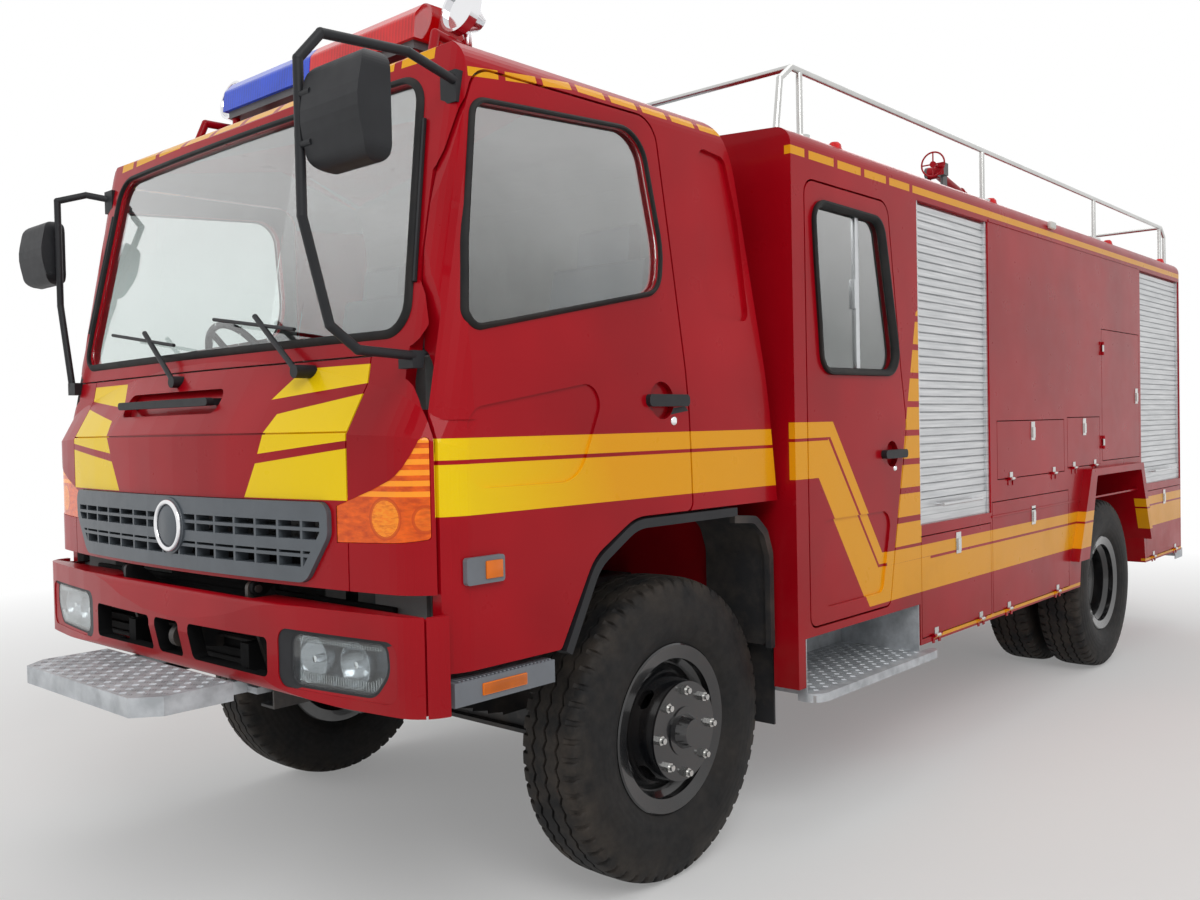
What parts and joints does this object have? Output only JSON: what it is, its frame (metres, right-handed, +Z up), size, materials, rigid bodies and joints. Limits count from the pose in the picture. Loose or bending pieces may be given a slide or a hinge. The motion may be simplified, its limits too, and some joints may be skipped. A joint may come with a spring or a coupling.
{
  "type": "fire engine",
  "caption": "Two-axle fire engine with a tilting cab, a crew compartment, side lockers with shutters and flaps, roof rails and a roof monitor.",
  "frame": {"origin": "on the ground under the middle of the bounding box", "axes": "+X forward, +Y to the truck's left, +Z up"},
  "size_m": [7.735, 2.802, 3.462],
  "materials": {
    "frame_black": "satin",
    "paint_red": "gloss",
    "engine_grey": "matt",
    "step_metal": "brushed",
    "lamp_clear": "clear",
    "rubber_black": "matt",
    "seat_fabric": "woven",
    "shutter_metal": "satin",
    "rail_steel": "satin",
    "steel_grey": "satin",
    "rim_black": "satin",
    "tyre_black": "matt",
    "glass_tint": "tinted",
    "amber": "gloss",
    "plastic_black": "matt",
    "grille_grey": "satin",
    "trim_grey": "matt",
    "lens_red": "gloss"
  },
  "bodies": {
    "chassis": {"chassis_frame": "frame_black", "front_axle": "frame_black", "rear_axle": "frame_black", "engine": "engine_grey", "front_bumper": "paint_red", "front_step": "step_metal", "road_lamps": "lamp_clear", "mudguards": "rubber_black", "crew_cabin": "paint_red", "locker_body": "paint_red", "crew_steps": "step_metal", "crew_bench": "seat_fabric", "shutters": "shutter_metal", "roof_rails": "rail_steel", "rear_step": "step_metal", "monitor_base": "paint_red"},
    "cab": {"cab_shell": "paint_red", "cab_front": "paint_red", "grille": "grille_grey", "windscreen": "glass_tint", "corner_lamps": "amber", "cab_trim": "plastic_black", "mirrors": "plastic_black", "cab_interior": "trim_grey", "light_bar": "paint_red", "light_bar_lenses": "lens_red"},
    "knuckle_left": {"knuckle_left": "steel_grey"},
    "knuckle_right": {"knuckle_right": "steel_grey"},
    "tie_rod": {"tie_rod": "steel_grey"},
    "front_wheel_left": {"front_rim_left": "rim_black", "front_tyre_left": "tyre_black"},
    "front_wheel_right": {"front_rim_right": "rim_black", "front_tyre_right": "tyre_black"},
    "rear_wheels_left": {"rear_rims_left": "rim_black", "rear_tyres_left": "tyre_black"},
    "rear_wheels_right": {"rear_rims_right": "rim_black", "rear_tyres_right": "tyre_black"},
    "cab_door_left": {"cab_door_left": "paint_red", "cab_door_glass_left": "glass_tint"},
    "cab_door_right": {"cab_door_right": "paint_red", "cab_door_glass_right": "glass_tint"},
    "crew_door_left": {"crew_door_left": "paint_red", "crew_door_glass_left": "glass_tint"},
    "crew_door_right": {"crew_door_right": "paint_red", "crew_door_glass_right": "glass_tint"},
    "skirt_flap_front": {"skirt_flap_front": "paint_red"},
    "skirt_flap_middle": {"skirt_flap_middle": "paint_red"},
    "skirt_flap_rear": {"skirt_flap_rear": "paint_red"},
    "upper_flap_front": {"upper_flap_front": "paint_red"},
    "upper_flap_rear": {"upper_flap_rear": "paint_red"},
    "narrow_door": {"narrow_door": "paint_red"},
    "monitor_swivel": {"monitor_swivel": "steel_grey"},
    "monitor_barrel": {"monitor_barrel": "paint_red"}
  },
  "joints": [
    {"name": "steer_left", "type": "hinge", "parent": "chassis", "child": "knuckle_left", "pos_m": [2.2925, 0.865, 0.5275], "axis": [0, 0, 1], "range_deg": [-35, 35]},
    {"name": "steer_right", "type": "hinge", "parent": "chassis", "child": "knuckle_right", "pos_m": [2.2925, -0.865, 0.5275], "axis": [0, 0, 1], "range_deg": [-35, 35]},
    {"name": "tie_rod_pivot", "type": "hinge", "parent": "knuckle_left", "child": "tie_rod", "pos_m": [2.1025, 0.805, 0.4085], "axis": [0, 0, 1], "range_deg": [-37.5, 37.5]},
    {"name": "front_wheel_left_spin", "type": "hinge", "parent": "knuckle_left", "child": "front_wheel_left", "pos_m": [2.2925, 0.975, 0.5275], "axis": [0, 1, 0], "continuous": true},
    {"name": "front_wheel_right_spin", "type": "hinge", "parent": "knuckle_right", "child": "front_wheel_right", "pos_m": [2.2925, -0.975, 0.5275], "axis": [0, 1, 0], "continuous": true},
    {"name": "rear_wheels_left_spin", "type": "hinge", "parent": "chassis", "child": "rear_wheels_left", "pos_m": [-1.9875, 0.936, 0.5275], "axis": [0, 1, 0], "continuous": true},
    {"name": "rear_wheels_right_spin", "type": "hinge", "parent": "chassis", "child": "rear_wheels_right", "pos_m": [-1.9875, -0.936, 0.5275], "axis": [0, 1, 0], "continuous": true},
    {"name": "cab_tilt", "type": "hinge", "parent": "chassis", "child": "cab", "pos_m": [3.4925, 0, 1.112], "axis": [0, 1, 0], "range_deg": [0, 45]},
    {"name": "cab_door_left_hinge", "type": "hinge", "parent": "cab", "child": "cab_door_left", "pos_m": [3.3325, 1.145, 1.3], "axis": [0, 0, -1], "range_deg": [0, 65]},
    {"name": "cab_door_right_hinge", "type": "hinge", "parent": "cab", "child": "cab_door_right", "pos_m": [3.3325, -1.145, 1.3], "axis": [0, 0, 1], "range_deg": [0, 65]},
    {"name": "crew_door_left_hinge", "type": "hinge", "parent": "chassis", "child": "crew_door_left", "pos_m": [1.5825, 1.232, 1.5], "axis": [0, 0, -1], "range_deg": [0, 85]},
    {"name": "crew_door_right_hinge", "type": "hinge", "parent": "chassis", "child": "crew_door_right", "pos_m": [1.5825, -1.232, 1.5], "axis": [0, 0, 1], "range_deg": [0, 85]},
    {"name": "skirt_flap_front_hinge", "type": "hinge", "parent": "chassis", "child": "skirt_flap_front", "pos_m": [0.2925, 1.261, 0.6], "axis": [-1, 0, 0], "range_deg": [0, 95]},
    {"name": "skirt_flap_middle_hinge", "type": "hinge", "parent": "chassis", "child": "skirt_flap_middle", "pos_m": [-0.6785, 1.261, 0.6], "axis": [-1, 0, 0], "range_deg": [0, 95]},
    {"name": "skirt_flap_rear_hinge", "type": "hinge", "parent": "chassis", "child": "skirt_flap_rear", "pos_m": [-3.2175, 1.261, 0.6], "axis": [-1, 0, 0], "range_deg": [0, 95]},
    {"name": "upper_flap_front_hinge", "type": "hinge", "parent": "chassis", "child": "upper_flap_front", "pos_m": [-0.685, 1.261, 1.268], "axis": [-1, 0, 0], "range_deg": [0, 95]},
    {"name": "upper_flap_rear_hinge", "type": "hinge", "parent": "chassis", "child": "upper_flap_rear", "pos_m": [-1.5205, 1.261, 1.284], "axis": [-1, 0, 0], "range_deg": [0, 95]},
    {"name": "narrow_door_hinge", "type": "hinge", "parent": "chassis", "child": "narrow_door", "pos_m": [-1.8575, 1.261, 1.712], "axis": [0, 0, -1], "range_deg": [0, 90]},
    {"name": "monitor_swivel_turn", "type": "hinge", "parent": "chassis", "child": "monitor_swivel", "pos_m": [-2.2875, 0, 3.062], "axis": [0, 0, 1], "range_deg": [-170, 170]},
    {"name": "monitor_elevation", "type": "hinge", "parent": "monitor_swivel", "child": "monitor_barrel", "pos_m": [-2.2875, 0, 3.362], "axis": [0, 1, 0], "range_deg": [0, 85]}
  ],
  "couplings": [
    {"joint": "steer_right", "follows": "steer_left", "ratio": 1},
    {"joint": "tie_rod_pivot", "follows": "steer_left", "ratio": -1.07}
  ]
}
